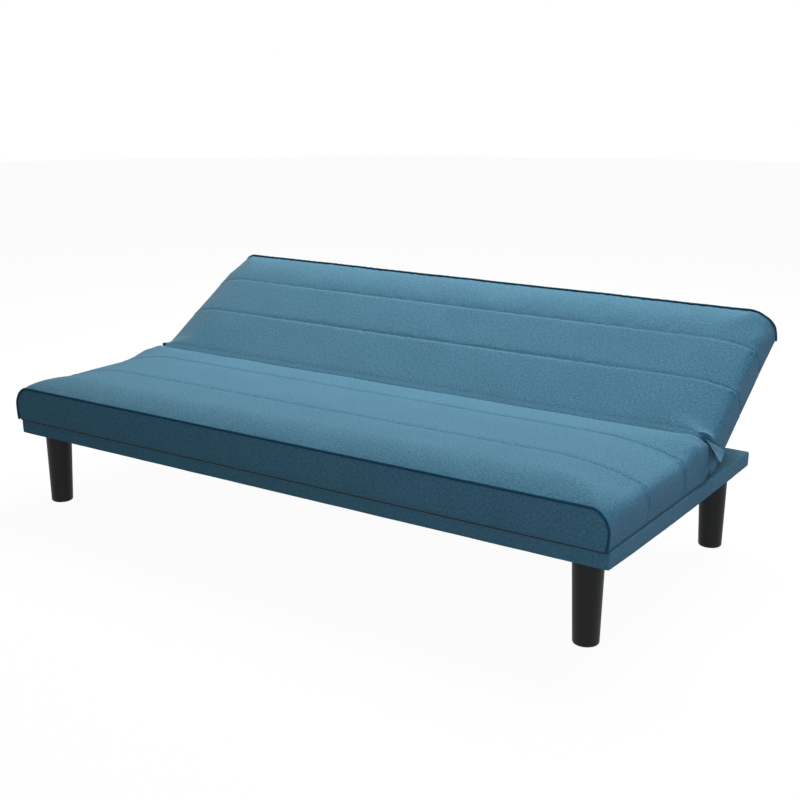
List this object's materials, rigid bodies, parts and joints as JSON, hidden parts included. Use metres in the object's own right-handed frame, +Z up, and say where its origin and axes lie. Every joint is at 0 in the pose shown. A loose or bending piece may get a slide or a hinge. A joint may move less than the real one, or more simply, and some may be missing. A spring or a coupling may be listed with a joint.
{
  "type": "click clack sofa bed",
  "caption": "Armless click clack sofa bed: padded seat and reclining back on a covered base with tapered round legs, joined by ratchet hinges.",
  "frame": {"origin": "on the floor, under the middle of the sofa bed's extent with the back in its lounge position", "axes": "+X along the length to the sitter's left hand side seen from behind (right in the picture), +Y towards the back, +Z up"},
  "size_m": [1.6846, 0.9586, 0.552],
  "materials": {
    "woven_cover": "woven heathered polyester, teal blue, over the cushions, the base and the gap between them",
    "piping_cord": "dark blue corded piping",
    "dust_cloth": "black non-woven dust cloth",
    "polyurethane_foam": null,
    "pine": "sawn pine rail",
    "hardboard": "hardboard sheet",
    "belt_webbing": "black elastic webbing",
    "black_plastic": "matte black moulded plastic",
    "zinc_steel": "zinc-plated stamped steel",
    "black_steel": "black painted stamped steel",
    "spring_steel": "spring steel wire"
  },
  "bodies": {
    "back": {"back_arm_left": "black_steel", "back_arm_right": "black_steel", "back_cover": "woven_cover", "back_foam": "polyurethane_foam", "back_piping": "piping_cord", "back_rail_centre": "pine", "back_rail_left": "pine", "back_rail_lower": "pine", "back_rail_right": "pine", "back_rail_top": "pine", "back_rear_cloth": "dust_cloth", "back_webbing": "belt_webbing", "gap_cloth": "woven_cover", "pawl_pin_left": "zinc_steel", "pawl_pin_right": "zinc_steel", "pawl_spring_left": "spring_steel", "pawl_spring_right": "spring_steel"},
    "base": {"base_cover": "woven_cover", "base_deck": "hardboard", "base_dust_cloth": "dust_cloth", "base_rail_centre": "pine", "base_rail_front": "pine", "base_rail_left": "pine", "base_rail_rear": "pine", "base_rail_right": "pine", "hinge_bracket_left": "zinc_steel", "hinge_bracket_right": "zinc_steel", "leg_block_front_left": "pine", "leg_block_front_right": "pine", "leg_block_rear_left": "pine", "leg_block_rear_right": "pine", "leg_front_left": "black_plastic", "leg_front_right": "black_plastic", "leg_rear_left": "black_plastic", "leg_rear_right": "black_plastic", "pivot_bolt_left": "zinc_steel", "pivot_bolt_right": "zinc_steel", "pivot_nut_left": "zinc_steel", "pivot_nut_right": "zinc_steel"},
    "pawl_left": {"pawl_left": "black_steel"},
    "pawl_right": {"pawl_right": "black_steel"},
    "seat": {"ratchet_sector_left": "zinc_steel", "ratchet_sector_right": "zinc_steel", "seat_arm_left": "black_steel", "seat_arm_right": "black_steel", "seat_cover": "woven_cover", "seat_dust_cloth": "dust_cloth", "seat_foam": "polyurethane_foam", "seat_piping": "piping_cord", "seat_rail_centre": "pine", "seat_rail_front": "pine", "seat_rail_left": "pine", "seat_rail_rear": "pine", "seat_rail_right": "pine", "seat_webbing": "belt_webbing"}
  },
  "joints": [
    {"name": "seat_lift", "type": "hinge", "parent": "base", "child": "seat", "pos_m": [0, 0.05504, 0.3088], "axis": [-1, 0, 0], "range_deg": [0, 31.5]},
    {"name": "back_recline", "type": "hinge", "parent": "base", "child": "back", "pos_m": [0, 0.05504, 0.3088], "axis": [1, 0, 0], "range_deg": [-31.5, 31.5]},
    {"name": "pawl_left_click", "type": "hinge", "parent": "back", "child": "pawl_left", "pos_m": [-0.8058, 0.09931, 0.32129], "axis": [-1, 0, 0], "range_deg": [0, 11.2], "deforming": ["pawl_spring_left"]},
    {"name": "pawl_right_click", "type": "hinge", "parent": "back", "child": "pawl_right", "pos_m": [0.8058, 0.09931, 0.32129], "axis": [-1, 0, 0], "range_deg": [0, 11.2], "deforming": ["pawl_spring_right"]}
  ]
}
